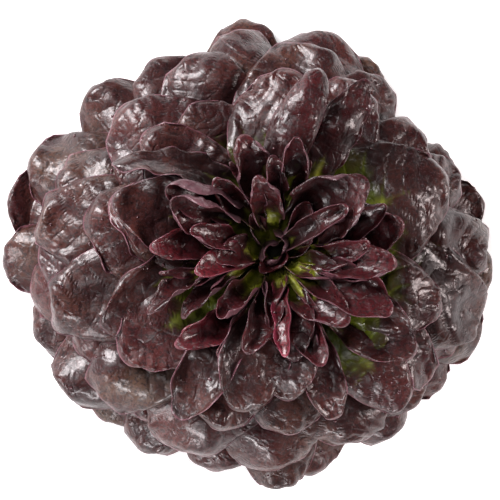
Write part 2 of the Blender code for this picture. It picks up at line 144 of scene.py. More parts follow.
# Small leaves of the heart, lowest first: azimuth of the tip in degrees, reach and tip height in
# mm, tip angle above the horizon in degrees, half width in mm, half the angle of the trough,
# turn about the midrib and sideways sweep in degrees, how red it is and how green its foot is.
HEART_LEAVES = [
    (204, 104, 60, -25, 18, 30, -20, 26, 0.1, 0.6), (239, 104, 60, -35, 16, 35, 12, 0, 0.0, 0.2),
    (256, 90, 68, -35, 21, 32, -12, 0, 0.0, 0.2), (273, 82, 70, -30, 20, 30, 10, 0, 0.05, 0.2),
    (289, 97, 62, -25, 15, 72, 0, 0, 0.3, 0.4), (322, 93, 70, -5, 21, 55, 8, 0, 0.3, 0.6),
    (163, 94, 79, 5, 25, 62, 4, 0, 0.1, 0.5), (152, 101, 74, -20, 13, 58, 40, 42, 0.0, 0.3),
    (63, 101, 79, -30, 14, -42, 12, -4, 0.05, 0.8), (79, 99, 89, -28, 15, -40, -10, -24, 0.12, 0.7),
    (12, 66, 89, 30, 24, 68, 10, -14, 0.3, 1.0), (110, 64, 95, 30, 19, 95, 6, 4, 0.15, 0.8),
    (205, 79, 82, 10, 12, 80, 60, 14, 0.05, 0.9), (223, 76, 79, 12, 15, 88, -22, -20, 0.6, 0.7),
    (330, 67, 86, -15, 17, 62, -14, 12, 0.35, 0.8), (290, 66, 82, 10, 14, 84, 12, 10, 0.4, 0.7),
    (151, 71, 92, 25, 16, 98, -24, 30, 0.2, 0.6), (179, 70, 89, 25, 14, 84, 12, 8, 0.45, 0.8),
    (84, 61, 101, 45, 13, 98, 4, 8, 0.2, 0.6), (155, 66, 95, 22, 18, 90, -26, 4, 0.25, 0.8),
    (277, 60, 82, 0, 16, 50, 10, -8, 0.1, 0.5), (251, 58, 89, 20, 14, 86, -12, -10, 0.15, 0.6),
    (353, 61, 95, 10, 15, 76, -12, 16, 0.4, 0.7), (272, 57, 89, 5, 7, 60, 40, -6, 0.9, 0.3),
    (41, 56, 108, 42, 28, 84, -6, -10, 0.1, 0.5), (194, 48, 92, 20, 11, 66, 26, 10, 0.7, 0.6),
    (311, 52, 92, 30, 20, 86, 10, 16, 0.3, 1.1), (228, 50, 86, 28, 11, 84, 30, -14, 0.35, 0.9),
    (214, 64, 81, 12, 10, 88, 44, 14, 0.15, 0.8), (240, 66, 79, 8, 11, 84, -26, -10, 0.2, 0.7),
    (342, 50, 89, 22, 11, 86, -24, 14, 0.45, 0.8), (97, 50, 98, 38, 11, 88, 20, -8, 0.15, 0.7),
    (134, 52, 92, 35, 12, 86, -20, 12, 0.25, 0.7), (168, 50, 92, 28, 11, 84, 22, -12, 0.45, 0.7),
    (24, 60, 95, 20, 12, 84, 24, 10, 0.2, 0.7), (264, 42, 82, 25, 10, 82, -24, 12, 0.2, 0.7),
    (34, 41, 101, 10, 10, 96, -14, -10, 0.2, 0.3), (110, 41, 98, 42, 15, 98, -4, 6, 0.2, 0.8),
    (4, 46, 95, 25, 12, 84, 30, 20, 0.5, 0.9), (188, 36, 86, 30, 11, 60, 18, 16, 0.3, 0.8),
    (64, 30, 86, 40, 12, 78, 24, 30, 0.2, 0.7), (338, 34, 86, 30, 13, 84, -10, 30, 0.35, 0.9),
    (262, 30, 77, 40, 11, 90, 14, -20, 0.3, 1.0), (130, 24, 77, 50, 10, 92, 10, -24, 0.2, 1.0),
    (20, 18, 77, 55, 9, 94, 0, 40, 0.25, 0.9), (230, 15, 70, 60, 8, 96, 0, -40, 0.3, 1.0),
    (300, 6, 71, 104, 8, 70, 30, 40, 0.25, 0.5), (175, 6, 73, 104, 9, 64, -34, 30, 0.15, 0.3),
    (65, 4, 75, 112, 9, 60, -30, 30, 0.2, 0.3), (255, 2, 69, 118, 7, 60, 25, -30, 0.3, 0.4),
    (203, 50, 79, 26, 4, 80, 40, 8, 0.3, 1.3), (191, 66, 79, 10, 4.5, 76, -34, -8, 0.3, 1.3),
    (209, 43, 77, 35, 3.4, 84, -24, 8, 0.3, 1.3), (303, 41, 81, 25, 3.4, 84, 24, 12, 0.3, 1.3),
    (314, 33, 78, 30, 3.4, 84, -24, 12, 0.3, 1.3), (7, 46, 84, 20, 4, 84, 14, 0, 0.3, 1.4),
    (72, 50, 82, 35, 4.2, 80, -14, 0, 0.2, 1.4), (120, 54, 81, 30, 4, 84, 14, 6, 0.2, 1.3),
    (296, 52, 74, 10, 3.4, 84, 14, 6, 0.3, 1.3), (335, 62, 72, 0, 4, 80, 14, 6, 0.3, 1.3),
]

# Leaves whose green foot shows in a gap of the head, with how green it is.
GREENEST = {"upper_10": 0.70, "upper_01": 0.86, "upper_07": 0.92, "upper_09": 0.80,
            "upper_04": 0.96, "upper_12": 0.7, "upper_02": 0.80, "upper_08": 0.85,
            "upper_13": 0.9}
PLAIN_FOOT = 0.5

# Faces: rows along a leaf and columns across it. A stalk takes one row in five up to this share
# of the length, and the columns lie closer together at the margins.
LARGE_FACES = (84, 40)
LOWEST_TIER_FACES = (60, 28)
HEART_FACES = (42, 28)
STALK_ROWS_ONE_IN = 5
LARGE_STALK_SHARE = 0.3
HEART_STALK_SHARE = 0.25
MARGIN_CROWDING = 1.25
# No leaf goes lower than this.
LOWEST = 0.3 * MM
THIN_EDGE = 0.5 * MM

# A random height over a blade adds up waves of about one length: a wander is (height, length,
# how many waves), a patch is (middle value, how much it changes, length, how many waves).
WAVE_LENGTH_SHARES = (0.7, 1.6)
CREASE_ROUNDING = 0.03
BLISTER_WAVES = 4
BLISTER_MEAN = 0.55
BLISTER_LEAST = 0.35
BLISTER_PATCH = (0.5, 0.7)
BLISTER_PATCH_SIZE = 3.0

# Veins leave the midrib at a slant, bend towards the tip and wander, and finer ones cross
# between them. The scatter moves the cells of one strip against those of the next.
VEIN_SLANT = 0.42
VEIN_BEND_PER_M = 11.0
VEIN_WANDER = (3.4 * MM, 34 * MM, 4)
STRIP_SCATTER = 12.9898
SIDE_SCATTER = 78.233
SCATTER = 0.5
CELL_WANDER = (0.25, 18 * MM, 3)
CELL_SHARE = 0.30
VEIN_WIDTH = 0.22
FINE_VEIN = 0.6
FINE_VEIN_WIDTH = 0.24

# Crimps are folds that run in from the margin, towards a centre at this share of the length.
CRIMP_CENTRE = 0.72
CRIMP_HEIGHT = 1.8 * MM
CRIMP_SPACING_MM = (9.0, 13.0)
CRIMP_WANDER = (0.45, 22 * MM, 3)
CRIMP_RISES_OVER = 3.0 * MM
CRIMP_FADE = (7.0 * MM, 9.0 * MM)
CRIMP_PATCH = (0.6, 0.7, 36 * MM, 4)
CRIMP_BACK_OVER = 0.4
CRIMP_BACK_SHIFT = 0.9
CRIMP_OFF_CENTRE = (0.45, 0.3)
CRIMP_MEAN = 0.6

# The relief of a large leaf.
STRIP_MM = (8, 13)
CELL_MM = (9, 14)
RELIEF_RISE = (0.18, 0.3)
FLAT_MARGIN = 5.0 * MM
QUILT_MM = (0.5, 1.3)
QUILT_PATCH = (0.35, 0.6, 45 * MM, 6)
QUILT_MEAN = 0.55
SWELL = (2.0 * MM, 38 * MM, 6)
# Puckers are (height, size).
PUCKERS = (0.9 * MM, 15 * MM)
# The margin rolls down, less so at the tip's corners.
ROLL_WIDTH = 6.0 * MM
ROLL_POWER = 1.6
ROLL_DEPTH = 2.6 * MM
CORNER_RISE = (0.9, 0.1)
CORNER_POWER = 4
CORNER_LESS = 0.9
# The midrib is a groove above and a rib below, and both get weaker towards the tip.
GROOVE_WIDTH = 2.6 * MM
GROOVE_MM = 1.3
RIB_WIDTH = 2.4 * MM
RIB_FADE_POWER = 1.1
# Thickness is (the blade's, what the rib adds, the thin edge's).
THICKNESS = (0.55 * MM, 1.5 * MM, 0.35 * MM)
MOST_TONE = 0.35
LARGE_LEAF_DROPS = (1, 4)

# The midrib of a heart leaf bends from an angle at the root, which is solved by halving, to the
# angle at its tip.
MIDRIB_POINTS = 101
MIDRIB_BEND_POWER = 1.3
START_ANGLES_DEG = (-40.0, 140.0)
HALVINGS = 40
LEAST_RUN = 1.0 * MM

# The first leaves of the heart have the outer leaves' look, and the first ones carry drops.
SATIN_HEART_LEAVES = 8
HEART_LEAVES_WITH_DROPS = 30
HEART_LEAF_DROPS = (1, 3)
HEART_LOWEST_ROOT_MM = 24.0
HEART_ROOT_RISE_MM = 28.0
HEART_ROOT_SUNK = 1.5 * MM
HEART_FULL_WIDTH = 0.96
HEART_STALK_HALF_WIDTH = 3.4 * MM
HEART_OUTLINE = (0.10, 0.72, 0.45)
HEART_TIP_SETBACK = 0.8
HEART_SETBACK_POWER = 7
# The trough opens out from the root and closes less towards the tip.
INNER_FOLDS_MORE = 1.16
ROOT_FOLD = 0.55
FOLD_ADDED = 0.45
FOLD_ADDED_BY = 0.4
TIP_OPENS = 0.28
TIP_OPENS_POWER = 3
LEAST_FOLD = 0.05
TURN_RISE = (0.15, 0.6)
# The relief of a heart leaf, for a leaf of this half width, and the least and most of it.
PHASES_UP_TO = 6.28
HEART_BLADE_RISE = (0.2, 0.3)
HEART_USUAL_HALF_WIDTH = 14.0 * MM
HEART_RELIEF_RANGE = (0.5, 1.3)
FRILL_LENGTH_MM = (14, 22)
FRILL_HEIGHT = 2.6 * MM
FRILL_POWER = 3
LIP_WIDTH = 3.0 * MM
LIP_POWER = 1.3
LIP_MM = (-1.5, -1.5, 1.8)
HEART_STRIP_MM = (9, 13)
HEART_CELL_MM = (7, 10)
HEART_FLAT_MARGIN = 4.0 * MM
HEART_QUILT = 0.6 * MM
HEART_QUILT_MEAN = 0.5
HEART_SWELL = (0.9 * MM, 22 * MM, 6)
HEART_PUCKERS = (0.72 * MM, 9 * MM)
HEART_RIB_WIDTH = 1.8 * MM
HEART_THICKNESS = (0.5 * MM, 1.1 * MM, 0.25 * MM)

# Beads of water: flattened domes on the outer part of a blade, clear of its margins.
DROP_RADII = (0.6, 1.1)
DROP_STRETCH = (1.0, 1.5)
DROP_HEIGHT_SHARE = 0.75
DROP_RAISED = 0.2 * MM
DROP_ROWS_FROM = 0.55
DROP_FIRST_COLUMN = 4
DROP_LAST_KEPT_OFF = 5
DROP_RINGS = 4
DROP_SIDES = 10

# The core: the stem's cone with shallow flutes, (flutes, depth, slant in radians a metre).
CORE_TOP = 50.0 * MM
CORE_SUNK = 0.3 * MM
CORE_RINGS = 14
CORE_SIDES = 40
CORE_FLUTES = (5, 0.05, 60)
CORE_FINE_FLUTES = (9, 0.03)

LAYING_SEED = 7
SURFACE_SEED = 23
CORE_SEED = 11

# Looks of the two kinds of leaf. Colours are as on a screen, 0 to 255. green_until is the share
# of the length where the green foot has gone, pucker the depth of the creases in metres, the next
# value how dark painted shade makes the blade towards its foot, where the leaves above would shade
# it, and rim how pale the margin is, partly its own paler colour and partly a painted rim
# highlight.
OUTER_LOOK = {"dark": (42, 19, 18), "light": (71, 38, 33), "wine": (86, 28, 32),
              "green": (96, 110, 20), "green_until": 0.62, "pucker": 0.00020, "painted_shade": 0.85,
              "rim": 0.45}
INNER_LOOK = {"dark": (34, 13, 12), "light": (63, 24, 24), "wine": (108, 26, 38),
              "green": (116, 124, 20), "green_until": 0.48, "pucker": 0.00024, "painted_shade": 0.75,
              "rim": 0.15}
# Tints of both, with how strongly each is mixed in. The vein and crease tints are painted shade in
# the blade's hollows.
AGED_TINT = (92, 74, 58), 0.7
PAINTED_VEIN_SHADE = (26, 12, 15), 0.35
SPECKLE_TINT = (18, 8, 10), 0.7
GLINT_TINT = (116, 88, 96), 0.28
RIB_TINT = (176, 170, 96), 0.6
UNDERSIDE_TINT = (112, 84, 92), 0.45
PAINTED_CREASE_SHADE = (26, 12, 14), 0.18
# Painted shade: the colour a blade darkens to towards its foot, where the leaves above would shade
# it.
PAINTED_FOOT_SHADE = (20, 7, 7)
BLUSH = (146, 48, 72)
# The margin's pale lilac: partly the margin's own paler colour and partly a painted rim highlight.
PALE_MARGIN_AND_PAINTED_RIM_HIGHLIGHT = (132, 84, 98)
WINE_WEIGHT = 0.85
# Noise is (scale, detail) and sometimes roughness. A fade is (from, to) and sometimes the values
# at its two ends. Marks are a noise and its fade. Distances from the margin are in mm.
PATCHES = (55.0, 5.0, 0.65), (0.38, 0.62)
AGED_MARKS = (28.0, 3.0), (0.45, 0.70)
GRAIN_NOISE = (620.0, 2.0)
SPECKLE_FADE = (0.50, 0.62)
GLINTS = (1200.0, 2.0), (0.55, 0.68)
WAVER_NOISE = (60.0, 3.0)
WAVER = 0.25
# The painted shade towards the foot grows from the first share of the length down to the second.
PAINTED_FOOT_SHADE_FADE = (0.98, 0.48)
GREEN_OF_FOOT = 0.35
GREEN_FROM_FOOT = 0.6
GREEN_UP_THE_RIB = 0.30
GREEN_UP_A_VEIN = 0.08
GREEN_FADE = 0.24
BLUSH_FADE = (2.0, 0.2, 0.0, 0.7)
MARGIN_FADE = (1.1, 0.1)
CREASE_CELLS = (125.0, 0.008)
CREASE_FADE = (0.0, 0.14)
NET_CELLS = (330.0, 0.002)
CELL_BEND_SCALE = 0.6
NET_FADE = (0.0, 0.25)
ROUGH_MARKS = (160.0, 4.0), (0.3, 0.7, 0.27, 0.39)
GRAIN_ROUGH_FADE = (0.44, 0.60, 0.0, 0.10)
LEAF_GLOSS = {"Coat Weight": 0.16, "Coat Roughness": 0.10, "Specular IOR Level": 0.42}
FINEST_NOISE = (1000.0, 4.0, 0.7)
# Each bump is (depth in metres, strength).
VEIN_BUMP = (0.0005, 0.6)
CREASE_STRENGTH = 0.6
NET_BUMP = (0.0001, 0.35)
FINEST_BUMP = (0.0001, 0.5)
FLESH_BUMP = (0.0004, 0.5)

# The stem's pale flesh with brown scars, the core's dark flesh, and the beads of water.
STEM_FLESH = {"colours": ((196, 200, 140), (224, 222, 184)), "marks": ((90.0, 5.0), (0.35, 0.7)),
              "bump_noise": (300.0, 4.0), "roughness": 0.5}
SCAR_TINT = (166, 132, 84), 0.5
SCARS = (240.0, 3.0), (0.6, 0.75)
CORE_FLESH = {"colours": ((22, 18, 10), (46, 48, 18)), "marks": ((140.0, 4.0), (0.35, 0.65)),
              "bump_noise": (400.0, 4.0), "roughness": 0.55}
WATER_COLOURS = ((62, 34, 38), (84, 54, 58))
WATER_NOISE_SCALE = 300.0
WATER_GLOSS = {"Roughness": 0.04, "Specular IOR Level": 0.6}

# The studio, in metres and watts: each light is (place, size, power, colour).
WHITE_LIGHT = (1.0, 0.95, 0.97)
WARM_LIGHT = (1.0, 0.86, 0.85)
LIGHTS = {
    "key_left": ((-1.02, 0.80, 0.85), (0.6, 0.6), 42.0, WHITE_LIGHT),
    "low_left": ((-1.25, -0.60, 0.60), (0.4, 0.4), 9.0, WHITE_LIGHT),
    "fill_front": ((-0.25, -1.35, 0.70), (0.7, 0.15), 15.0, WHITE_LIGHT),
    "fill_right": ((1.30, -0.10, 0.80), (0.3, 0.5), 17.0, WARM_LIGHT),
    "overhead": ((-0.35, 0.35, 1.9), (0.5, 0.5), 4.0, WHITE_LIGHT),
}
LIGHT_TARGET = (0.0, 0.0, 0.05)
# The walls glow more than the top of the room: (from, to, glow at the foot, glow above).
WALL_GLOW = (0.05, 0.75, 0.06, 0.0)
FLOOR_HALF_SIDE = 4.0
FLOOR_GAP = 0.0005
FLOOR_NOISE = (3.0, 2.0)
FLOOR_COLOURS = ((0.90, 0.90, 0.90, 1.0), (0.94, 0.94, 0.94, 1.0))
FLOOR_PAINT = {"Roughness": 0.9, "Specular IOR Level": 0.1, "Emission Strength": 0.55,
               "Emission Color": (1.0, 1.0, 1.0, 1.0)}
CAMERA_TILT_DEG = 5.0
CAMERA_DISTANCE = 2.0
VIEW_MIDDLE_X = -9.4 * MM
SENSOR_WIDTH_MM = 36.0
# The picture is this wide at this height over the floor.
PICTURE_WIDTH = 0.2725
PICTURE_HEIGHT_OVER_FLOOR = 0.035


def smoothstep(x):
    x = np.clip(x, 0.0, 1.0)
    return x * x * (3.0 - 2.0 * x)


def mixed(pair, share):
    """From a pair's first value to its second, by a share."""
    first, second = pair
    return first + (second - first) * share


def rising(x, start_and_length):
    """From 0 to 1, smoothly, as x passes a stretch."""
    start, length = start_and_length
    return smoothstep((x - start) / length)


def between(table, row, column):
    """A table's value between its rows and columns. After the last column comes the first."""
    row = np.clip(row, 0.0, len(table) - LAST_CELL)
    i = row.astype(int)
    whole = column.astype(int)
    j = whole % table.shape[1]
    k = (j + 1) % table.shape[1]
    a = row - i
    b = column - whole
    low = table[i, j] * (1 - b) + table[i, k] * b
    high = table[i + 1, j] * (1 - b) + table[i + 1, k] * b
    return low * (1 - a) + high * a


def stem_radius(z):
    return mixed(STEM_RADII, np.clip(z / STEM_HEIGHT, 0.0, 1.0) ** STEM_TAPER_POWER)


class Meridians:
    """The family of midrib lines, as arrays of radius, height and rising angle."""

    def __init__(self):
        self.levels = np.linspace(*LEVEL_RANGE, LEVEL_STEPS)
        self.lengths = np.arange(0.0, LONGEST, STEP)
        inside = np.clip(self.levels, 0.0, 1.0)
        rise = np.radians(np.interp(inside, LEVELS, RISE_DEG))
        bend = np.radians(np.interp(inside, LEVELS, BEND_DEG_PER_MM)) / MM
        elbow = smoothstep(self.lengths / ELBOW)
        angle = rise[:, None] * elbow - bend[:, None] * self.lengths
        root_z = mixed(ROOT_HEIGHTS, self.levels)
        root_r = stem_radius(root_z) + ROOT_GAP
        half = 0.5 * STEP
        turn_r = np.cumsum(np.cos(angle), axis=1) * STEP - half * np.cos(angle)
        turn_z = np.cumsum(np.sin(angle), axis=1) * STEP - half * np.sin(angle)
        self.radius = root_r[:, None] + turn_r - turn_r[:, :1]
        self.height = root_z[:, None] + turn_z - turn_z[:, :1]
        self.angle = angle
        level_step = self.levels[1] - self.levels[0]
        dr = np.gradient(self.radius, level_step, axis=0)
        dz = np.gradient(self.height, level_step, axis=0)
        self.spread = -dr * np.sin(angle) + dz * np.cos(angle)

    def at(self, table, level, length):
        row = (np.asarray(level) - LEVEL_RANGE[0]) / (self.levels[1] - self.levels[0])
        column = np.clip(np.asarray(length) / STEP, 0.0, len(self.lengths) - LAST_CELL)
        return between(table, row, column)

    def radius_at(self, level, along):
        return np.maximum(self.at(self.radius, np.full_like(along, level), along), LEAST_RADIUS)

    def spread_at(self, level, along):
        """How far apart two levels lie, in metres a level."""
        return np.maximum(self.at(self.spread, np.full_like(along, level), along), LEAST_SPREAD)

    def length_to_reach(self, level, reach):
        everywhere = np.full(len(self.lengths), level)
        radii = self.at(self.radius, everywhere, self.lengths)
        angles = self.at(self.angle, everywhere, self.lengths)
        ends = (radii >= reach) | (angles < -math.radians(STEEPEST_TIP_DEG))
        return self.lengths[np.argmax(ends)]

    def floor_levels(self):
        clear = self.height >= GROUND_CLEARANCE
        return self.levels[np.argmax(clear, axis=0)]


def outline_half_width(u, stalk, widest, outline):
    """Half a leaf's width at a share u of its length: stalk, widening blade, round tip."""
    starts, at, tip_share = outline
    widening = mixed((stalk, widest), smoothstep((u - starts) / (at - starts)))
    past = np.clip((u - at) / (1.0 - at), 0.0, 1.0)
    return widening * np.sqrt(1.0 - (past * math.sqrt(1.0 - tip_share**2)) ** 2)


class Leaf:
    """One large leaf: its outline, its own shape, and the levels it takes once it is laid."""

    def __init__(self, lines, tier, number, row, level, rng):
        self.name = f"{tier}_{number:02d}"
        self.node = f"{tier}_leaf_{number:02d}"
        azimuth, reach, half_width, fold = row
        self.azimuth = math.radians(azimuth)
        self.level = level
        self.reach = unleaned(reach * MM, self.azimuth)
        self.length = max(lines.length_to_reach(level, self.reach), SHORTEST)
        self.half_width = half_width * MM * FULL_WIDTH
        self.fold = fold * MM
        self.stalk = min(STALK_HALF_WIDTH, MOST_STALK_SHARE * self.half_width)
        self.sweep = math.radians(rng.uniform(-MOST_SWEEP_DEG, MOST_SWEEP_DEG))
        self.phases = [rng.uniform(0.0, FULL_TURN) for _ in range(4)]
        self.waves = rng.uniform(*WAVES)
        self.tilt = rng.uniform(-SIDE_TILT, SIDE_TILT)

    def half_width_at(self, u):
        return outline_half_width(u, self.stalk, self.half_width, OUTLINE)

    def distance_along(self, u, v):
        """Length along the midrib of the point (u, v), set back at the tip's corners."""
        setback = TIP_SETBACK * self.half_width_at(u) * u**SETBACK_POWER * v**2
        return u * self.length - setback

    def azimuth_at(self, lines, u, v):
        along = self.distance_along(u, v)
        radius = lines.radius_at(self.level, along)
        return self.azimuth + self.sweep * u**2 + v * self.half_width_at(u) / radius

    def own_height(self, u, v):
        """How far the leaf's own shape stands above its level, in metres."""
        blade = rising(u, BLADE_RISE)
        hollow = mixed((ROOT_TROUGH_SHARE, 1.0), smoothstep(u / ROOT_FLAT_UP_TO))
        trough = STALK_TROUGH * v**2 * (1.0 - blade) * hollow
        folded = CROWN * self.fold * np.abs(v) ** FOLD_POWER * blade
        side = np.where(v < 0, self.phases[0], self.phases[1])
        turns = FULL_TURN * self.waves
        margin = MARGIN_WAVE * np.abs(v) ** MARGIN_POWER * np.sin(turns * u + side) * blade
        middle = (BLADE_WAVE * np.sin(turns * BLADE_WAVE_SHARE * u + self.phases[2])
                  * np.cos(BLADE_WAVE_ACROSS * v + self.phases[3]) * blade)
        return trough + folded + margin + middle + self.tilt * v * blade

    def lay(self, lines, field):
        """Takes the leaf's own levels, lifted where it lies on the leaves under it."""
        u, v = np.meshgrid(np.linspace(0, 1, LAY_ROWS), np.linspace(-1, 1, LAY_COLUMNS),
                           indexing="ij")
        opened = smoothstep(u / OPENED_BY)
        spacing = mixed(SPACING, opened)
        softness = mixed(SOFTNESS, opened)
        for _ in range(LENGTH_PASSES):
            along = self.distance_along(u, v)
            turn = self.azimuth_at(lines, u, v)
            spread = lines.spread_at(self.level, along)
            floor = field.at(along, turn) + spacing / spread
            highest = floor.max(axis=1, keepdims=True)
            draped = np.quantile(floor, CARRIED_SHARE, axis=1, keepdims=True)
            flexible = smoothstep(u[:, :1] * self.length / STIFF_UP_TO)
            level = np.maximum(self.level, mixed((highest, draped), flexible))
            tip_level = level[-TIP_ROWS:].mean()
            self.length = max(lines.length_to_reach(tip_level, self.reach), SHORTEST)
        own = level + self.own_height(u, v) / spread
        lifted = soft_maximum(own, floor, softness / spread)
        for _ in range(LAYING_PASSES):
            lifted = np.maximum(smoothed(lifted), floor)
        self.levels = lifted
        field.take(self, lines)

    def levels_at(self, u, v):
        column = np.clip((v + 1) * 0.5 * (LAY_COLUMNS - 1), 0.0, LAY_COLUMNS - LAST_CELL)
        return between(self.levels, u * (LAY_ROWS - 1), column)

    def points(self, lines, u, v):
        """Places on the laid leaf's mid-surface."""
        along = self.distance_along(u, v)
        level = self.levels_at(u, v)
        for _ in range(SURFACE_PASSES):
            level = smoothed(level)
        turn = self.azimuth_at(lines, u, v)
        radius = leaned(lines.at(lines.radius, level, along), turn)
        height = lines.at(lines.height, level, along)
        return np.stack([radius * np.cos(turn), radius * np.sin(turn), height], axis=-1)


def lean_at(radius, turn):
    far = smoothstep((radius - LEAN_FROM) / (LEAN_TO - LEAN_FROM))
    return 1.0 - LEAN_SHARE * np.cos(turn) * far


def leaned(radius, turn):
    return radius * lean_at(radius, turn)


def unleaned(radius, turn):
    return radius / lean_at(radius / lean_at(radius, turn), turn)


def soft_maximum(a, b, softness):
    """The larger of two values, without a kink where they meet."""
    return b + softness * np.logaddexp(0.0, (a - b) / softness)


def smoothed(grid):
    """Each value mixed with the four beside it."""
    padded = np.pad(grid, 1, mode="edge")
    around = padded[:-2, 1:-1] + padded[2:, 1:-1] + padded[1:-1, :-2] + padded[1:-1, 2:]
    return 0.5 * grid + 0.125 * around


class Field:
    """The highest level laid so far, over distance along the midrib and azimuth."""

    def __init__(self, lines):
        self.along = np.arange(0.0, LONGEST, FIELD_STEP)
        self.turns = np.arange(FIELD_TURNS) * (FULL_TURN / FIELD_TURNS)
        floor = np.interp(self.along, lines.lengths, lines.floor_levels())
        self.level = np.repeat(floor[:, None], FIELD_TURNS, axis=1)

    def at(self, along, turn):
        column = (turn % FULL_TURN) / FULL_TURN * FIELD_TURNS
        return between(self.level, along / FIELD_STEP, column)

    def take(self, leaf, lines):
        """Raises the field to a laid leaf and to the skirt round its margin."""
        along, turn = np.meshgrid(self.along, self.turns, indexing="ij")
        radius = lines.radius_at(leaf.level, along)
        u = np.clip(along / leaf.length, 0.0, 1.0)
        for _ in range(FIELD_PASSES):
            offset = turn - leaf.azimuth - leaf.sweep * u**2
            offset = (offset + math.pi) % FULL_TURN - math.pi
            across = offset * radius
            width = leaf.half_width_at(u)
            v = np.clip(across / width, -1.0, 1.0)
            setback = TIP_SETBACK * width * u**SETBACK_POWER * v**2
            u = np.clip((along + setback) / leaf.length, 0.0, 1.0)
        beside = np.maximum(np.abs(across) - width, 0.0)
        ahead = np.maximum(along - leaf.distance_along(u, v), 0.0)
        outside = np.hypot(beside, ahead)
        spread = lines.spread_at(leaf.level, along)
        blade = smoothstep(along / STALK_UP_TO)
        slope = mixed(SKIRT_SLOPE, blade)
        fall = slope * np.maximum(outside - mixed(SKIRT, blade), 0.0) / spread
        level = leaf.levels_at(u, v) - fall
        reached = outside < SKIRT_REACH
        self.level = np.where(reached, np.maximum(self.level, level), self.level)


def lay_large_leaves(lines):
    """The large leaves, laid one over another from the ground up."""
    rng = random.Random(LAYING_SEED)
    field = Field(lines)
    laid = []
    tiers = {"ground": GROUND_TIER, "lower": LOWER_TIER, "upper": UPPER_TIER}
    for tier, rows in tiers.items():
        low, high = TIER_LEVELS[tier]
        for number, row in enumerate(rows, start=1):
            level = low + (high - low) * (number - 1) / (len(rows) - 1)
            leaf = Leaf(lines, tier, number, row, level, rng)
            leaf.lay(lines, field)
            laid.append(leaf)
    return laid


def waves(s, t, rng, wavelength, count):
    """A smooth random height over a blade, between about -1 and 1."""
    total = np.zeros_like(s)
    for _ in range(count):
        heading = rng.uniform(0.0, FULL_TURN)
        length = wavelength * rng.uniform(*WAVE_LENGTH_SHARES)
        phase = rng.uniform(0.0, FULL_TURN)
        place = s * math.cos(heading) + t * math.sin(heading)
        total += np.sin(FULL_TURN * place / length + phase)
    return total / math.sqrt(count)


def wandering(s, t, rng, wander):
    height, wavelength, count = wander
    return height * waves(s, t, rng, wavelength, count)


def patchy(s, t, rng, patch):
    """A share from 0 to 1 that changes over a blade in soft patches."""
    middle, change, wavelength, count = patch
    return smoothstep(middle + change * waves(s, t, rng, wavelength, count))


def rounded(wave):
    """The size of a wave, with its creases rounded."""
    return np.sqrt(wave**2 + CREASE_ROUNDING)


def puckering(s, t, rng, puckers):
    """Height of small blisters with creases between them, stronger in some places."""
    height, size = puckers
    blisters = rounded(waves(s, t, rng, size, BLISTER_WAVES)) - BLISTER_MEAN
    shown = patchy(s, t, rng, (*BLISTER_PATCH, BLISTER_PATCH_SIZE * size, BLISTER_WAVES))
    return height * (blisters * mixed((BLISTER_LEAST, 1.0), shown))


def quilting(s, t, rng, strip_mm, cell_mm):
    """(height 0 to 1, closeness to a vein 0 to 1) of a blade puffed up between its veins.

    Side veins leave the midrib and curve towards the tip. Between them the blade is split into
    cells. s runs along the midrib and t across it, both in metres."""
    spacing = rng.uniform(*strip_mm) * MM
    cell = rng.uniform(*cell_mm) * MM
    side = np.where(t < 0, rng.uniform(0.0, 1.0), rng.uniform(0.0, 1.0))
    off = np.abs(t)
    bent = s - VEIN_SLANT * off - VEIN_BEND_PER_M * off**2
    bent = bent + wandering(s, t, rng, VEIN_WANDER)
    strip = bent / spacing + side
    ridge = np.abs(np.sin(math.pi * strip))
    shift = np.sin(np.floor(strip) * STRIP_SCATTER + SIDE_SCATTER * np.sign(t)) * SCATTER
    across = off / cell + shift + wandering(s, t, rng, CELL_WANDER)
    lumps = np.abs(np.sin(math.pi * across))
    height = rounded(ridge) * ((1.0 - CELL_SHARE) + CELL_SHARE * rounded(lumps))
    vein = np.exp(-(ridge / VEIN_WIDTH) ** 2)
    fine = FINE_VEIN * np.exp(-(lumps / FINE_VEIN_WIDTH) ** 2) * ridge
    return height, np.maximum(vein, fine)


def crimping(s, t, centre, half_width, edge, rng):
    """Height of the folds that run in from the margin, at right angles to it."""
    around = np.arctan2(t, s - centre)
    folds = FULL_TURN * half_width / (rng.uniform(*CRIMP_SPACING_MM) * MM)
    strip = folds * around / FULL_TURN + wandering(s, t, rng, CRIMP_WANDER)
    band = smoothstep(edge / CRIMP_RISES_OVER) * (1.0 - rising(edge, CRIMP_FADE))
    shown = patchy(s, t, rng, CRIMP_PATCH)
    ahead = smoothstep((s - centre) / (CRIMP_BACK_OVER * centre) + CRIMP_BACK_SHIFT)
    away = rising(np.hypot(t, s - centre) / half_width, CRIMP_OFF_CENTRE)
    return (rounded(np.sin(math.pi * strip)) - CRIMP_MEAN) * band * shown * ahead * away


def grid_normals(points):
    du = np.gradient(points, axis=0)
    dv = np.gradient(points, axis=1)
    normal = np.cross(du, dv)
    return normal / np.maximum(np.linalg.norm(normal, axis=-1, keepdims=True), 1e-12)


def linked_object(name, data):
    obj = bpy.data.objects.new(name, data)
    bpy.context.scene.collection.objects.link(obj)
    return obj


def mesh_object(name, places, faces, material):
    mesh = bpy.data.meshes.new(name)
    mesh.from_pydata(places, [], faces)
    mesh.shade_smooth()
    mesh.materials.append(material)
    return linked_object(name, mesh)


def add_attribute(mesh, name, values):
    layer = mesh.attributes.new(name, "FLOAT", "POINT")
    layer.data.foreach_set("value", values.astype(np.float32))


